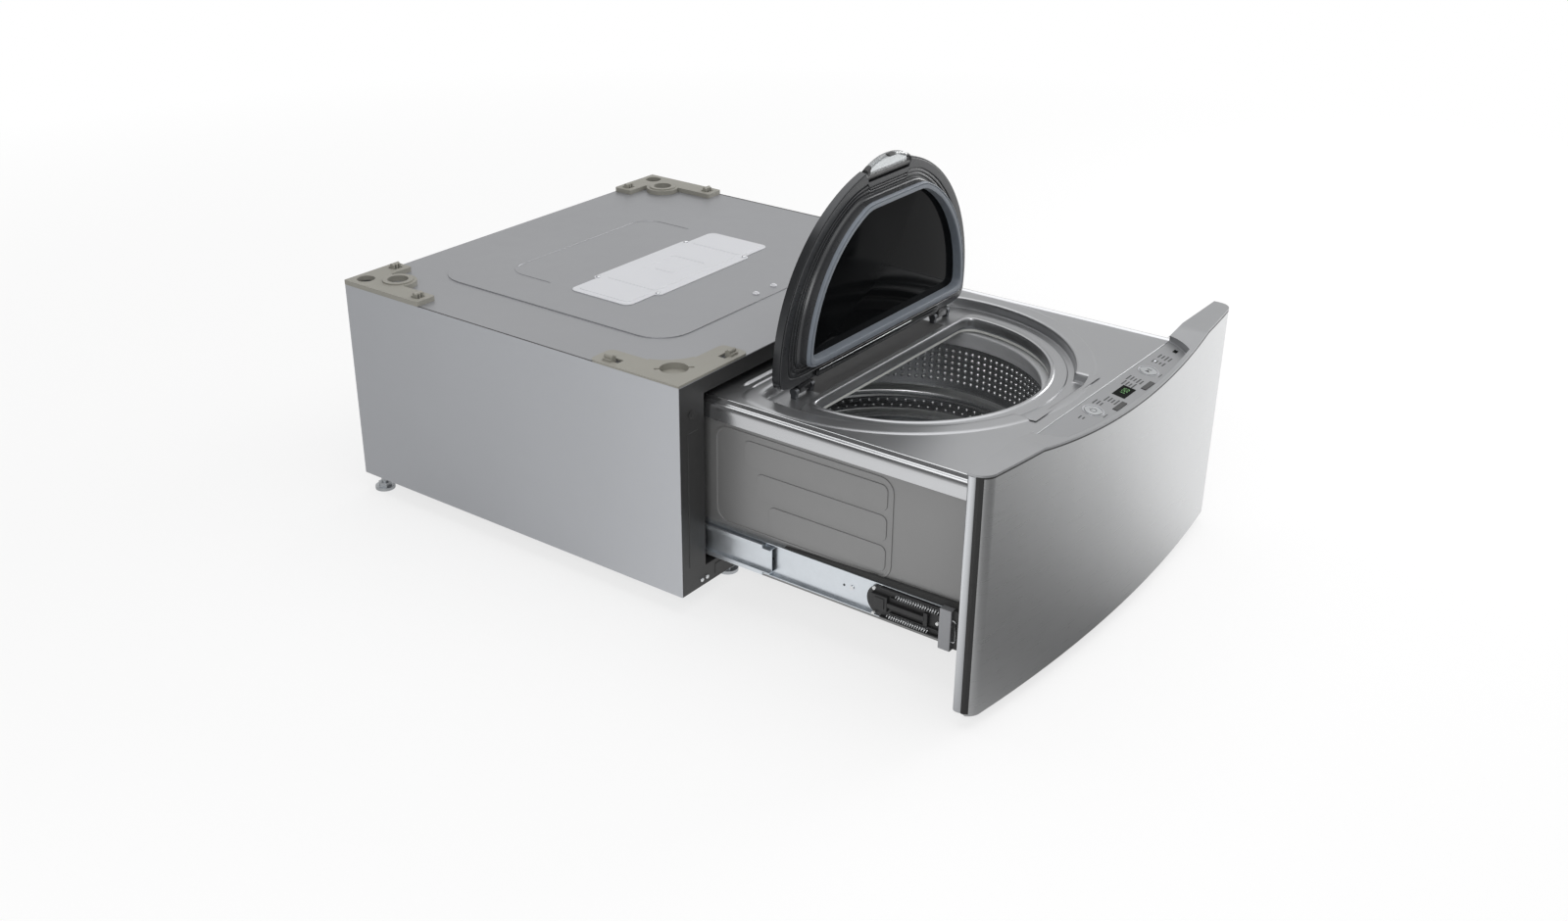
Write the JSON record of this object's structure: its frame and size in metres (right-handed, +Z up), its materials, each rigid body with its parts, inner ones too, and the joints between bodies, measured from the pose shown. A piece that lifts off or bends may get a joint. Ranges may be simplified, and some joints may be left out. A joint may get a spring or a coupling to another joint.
{
  "type": "pedestal drawer washing machine",
  "caption": "Low washing machine whose top-loading drum sits in a pull-out drawer with a bowed front, a lid, top controls and telescopic runners, under a steel cabinet.",
  "frame": {"origin": "middle of the base of the whole machine with its drawer pulled out, at floor level", "axes": "+Z up, -Y towards the user at the drawer's front, +X to the user's right"},
  "size_m": [0.686, 1.0904, 0.5721],
  "materials": {
    "side_paint": "satin silver-grey enamel on steel",
    "top_paint": "satin grey enamel on steel",
    "frame_paint": "satin dark grey enamel on steel",
    "white_plastic": "moulded white ABS",
    "plate_plastic": "moulded warm grey polypropylene",
    "zinc_steel": "zinc-plated steel",
    "screw_steel": "zinc-plated screws",
    "chrome_trim": "bright plated trim",
    "foot_metal": "plated steel",
    "black_rubber": "moulded black rubber",
    "drawer_paint": "light silver enamel on steel",
    "drawer_side_paint": "satin grey enamel on pressed steel",
    "front_steel": "brushed graphite stainless steel",
    "dark_plastic": "moulded dark grey ABS",
    "grey_plastic": "moulded mid grey ABS",
    "panel_plastic": "satin grey control surface",
    "key_metal": "satin aluminium keys",
    "display_glass": "black display window",
    "tub_plastic": "moulded white polypropylene",
    "seal_rubber": "blue-grey moulded rubber",
    "drum_steel": "stainless steel",
    "ring_plastic": "moulded light grey polypropylene",
    "pulsator_plastic": "moulded blue-grey polypropylene",
    "motor_steel": "dark painted steel",
    "motor_copper": "enamelled copper windings",
    "bearing_steel": "ground bearing steel",
    "lid_plastic": "dark grey moulded ABS",
    "lid_black": "gloss black moulded ABS",
    "lid_glass": "black tempered glass",
    "latch_plastic": "clear plated plastic",
    "board_green": "fibreglass circuit board"
  },
  "bodies": {
    "cabinet": {"side_panel_left": "side_paint", "side_panel_right": "side_paint", "top_panel": "top_paint", "rear_panel": "top_paint", "base_pan": "top_paint", "front_frame": "frame_paint", "access_cover": "white_plastic", "cabinet_screws": "screw_steel", "top_clips": "white_plastic", "corner_plates_front": "plate_plastic", "corner_plates_rear": "plate_plastic", "frame_bumpers": "black_rubber", "runner_rail_left": "zinc_steel", "runner_rail_right": "zinc_steel", "inlet_valves": "white_plastic", "drain_outlet": "grey_plastic", "power_inlet": "dark_plastic"},
    "foot_front_left": {"foot_front_left": "foot_metal"},
    "foot_front_right": {"foot_front_right": "foot_metal"},
    "foot_rear_left": {"foot_rear_left": "foot_metal"},
    "foot_rear_right": {"foot_rear_right": "foot_metal"},
    "runner_middle_left": {"runner_middle_left": "zinc_steel"},
    "runner_middle_right": {"runner_middle_right": "zinc_steel"},
    "drawer": {"drawer_top": "drawer_paint", "drawer_side_left": "drawer_side_paint", "drawer_side_right": "drawer_side_paint", "drawer_chassis": "drawer_side_paint", "front_skin": "front_steel", "front_liner": "dark_plastic", "front_end_trims": "chrome_trim", "front_cap": "grey_plastic", "control_panel": "panel_plastic", "display_window": "display_glass", "runner_slide_left": "zinc_steel", "runner_slide_right": "zinc_steel", "soft_close_units": "dark_plastic", "runner_end_caps": "grey_plastic", "hinge_brackets": "zinc_steel", "tub": "tub_plastic", "tub_cover": "tub_plastic", "tub_bellows": "seal_rubber", "tub_bearings": "bearing_steel", "suspension_rods": "zinc_steel", "motor_stator": "motor_copper", "drain_pump": "dark_plastic", "control_board": "board_green"},
    "lid": {"lid_frame": "lid_plastic", "lid_rim": "chrome_trim", "lid_cover": "lid_black", "lid_window": "lid_glass", "lid_gasket": "seal_rubber"},
    "lid_latch": {"lid_latch": "latch_plastic"},
    "drum": {"drum": "drum_steel", "balance_ring": "ring_plastic"},
    "pulsator": {"pulsator": "pulsator_plastic", "motor_rotor": "motor_steel"},
    "power_button": {"power_button": "key_metal"},
    "start_button": {"start_button": "key_metal"},
    "option_key_left": {"option_key_left": "dark_plastic"},
    "option_key_right": {"option_key_right": "dark_plastic"}
  },
  "joints": [
    {"name": "drawer_slide", "type": "slide", "parent": "cabinet", "child": "drawer", "axis": [0, 1, 0], "range_m": [0, 0.055]},
    {"name": "runner_middle_left_slide", "type": "slide", "parent": "cabinet", "child": "runner_middle_left", "axis": [0, 1, 0], "range_m": [0, 0.03575]},
    {"name": "runner_middle_right_slide", "type": "slide", "parent": "cabinet", "child": "runner_middle_right", "axis": [0, 1, 0], "range_m": [0, 0.03575]},
    {"name": "lid_hinge", "type": "hinge", "parent": "drawer", "child": "lid", "pos_m": [0, -0.14725, 0.292], "axis": [1, 0, 0], "range_deg": [0, 88]},
    {"name": "latch_press", "type": "hinge", "parent": "lid", "child": "lid_latch", "pos_m": [0, -0.15618, 0.54784], "axis": [1, 0, 0], "range_deg": [-14, 0], "stiffness_Nm_per_rad": 0.6, "springref_deg": 5.73},
    {"name": "drum_spin", "type": "hinge", "parent": "drawer", "child": "drum", "pos_m": [0, -0.18725, 0.116], "axis": [0, 0, 1], "continuous": true},
    {"name": "pulsator_spin", "type": "hinge", "parent": "drum", "child": "pulsator", "pos_m": [0, -0.18725, 0.116], "axis": [0, 0, 1], "continuous": true},
    {"name": "power_press", "type": "slide", "parent": "drawer", "child": "power_button", "axis": [0, 0.1564, -0.9877], "range_m": [0, 0.0012], "stiffness_N_per_m": 900, "springref_m": -0.001},
    {"name": "start_press", "type": "slide", "parent": "drawer", "child": "start_button", "axis": [0, 0.1564, -0.9877], "range_m": [0, 0.0012], "stiffness_N_per_m": 900, "springref_m": -0.001},
    {"name": "option_left_press", "type": "slide", "parent": "drawer", "child": "option_key_left", "axis": [0, 0.1564, -0.9877], "range_m": [0, 0.0012], "stiffness_N_per_m": 900, "springref_m": -0.001},
    {"name": "option_right_press", "type": "slide", "parent": "drawer", "child": "option_key_right", "axis": [0, 0.1564, -0.9877], "range_m": [0, 0.0012], "stiffness_N_per_m": 900, "springref_m": -0.001},
    {"name": "foot_front_left_turn", "type": "hinge", "parent": "cabinet", "child": "foot_front_left", "pos_m": [-0.207, -0.04875, 0], "axis": [0, 0, 1], "continuous": true},
    {"name": "foot_front_right_turn", "type": "hinge", "parent": "cabinet", "child": "foot_front_right", "pos_m": [0.207, -0.04875, 0], "axis": [0, 0, 1], "continuous": true},
    {"name": "foot_rear_left_turn", "type": "hinge", "parent": "cabinet", "child": "foot_rear_left", "pos_m": [-0.324, 0.52625, 0], "axis": [0, 0, 1], "continuous": true},
    {"name": "foot_rear_right_turn", "type": "hinge", "parent": "cabinet", "child": "foot_rear_right", "pos_m": [0.324, 0.52625, 0], "axis": [0, 0, 1], "continuous": true}
  ],
  "couplings": [
    {"joint": "runner_middle_left_slide", "follows": "drawer_slide", "ratio": 0.65},
    {"joint": "runner_middle_right_slide", "follows": "drawer_slide", "ratio": 0.65}
  ]
}
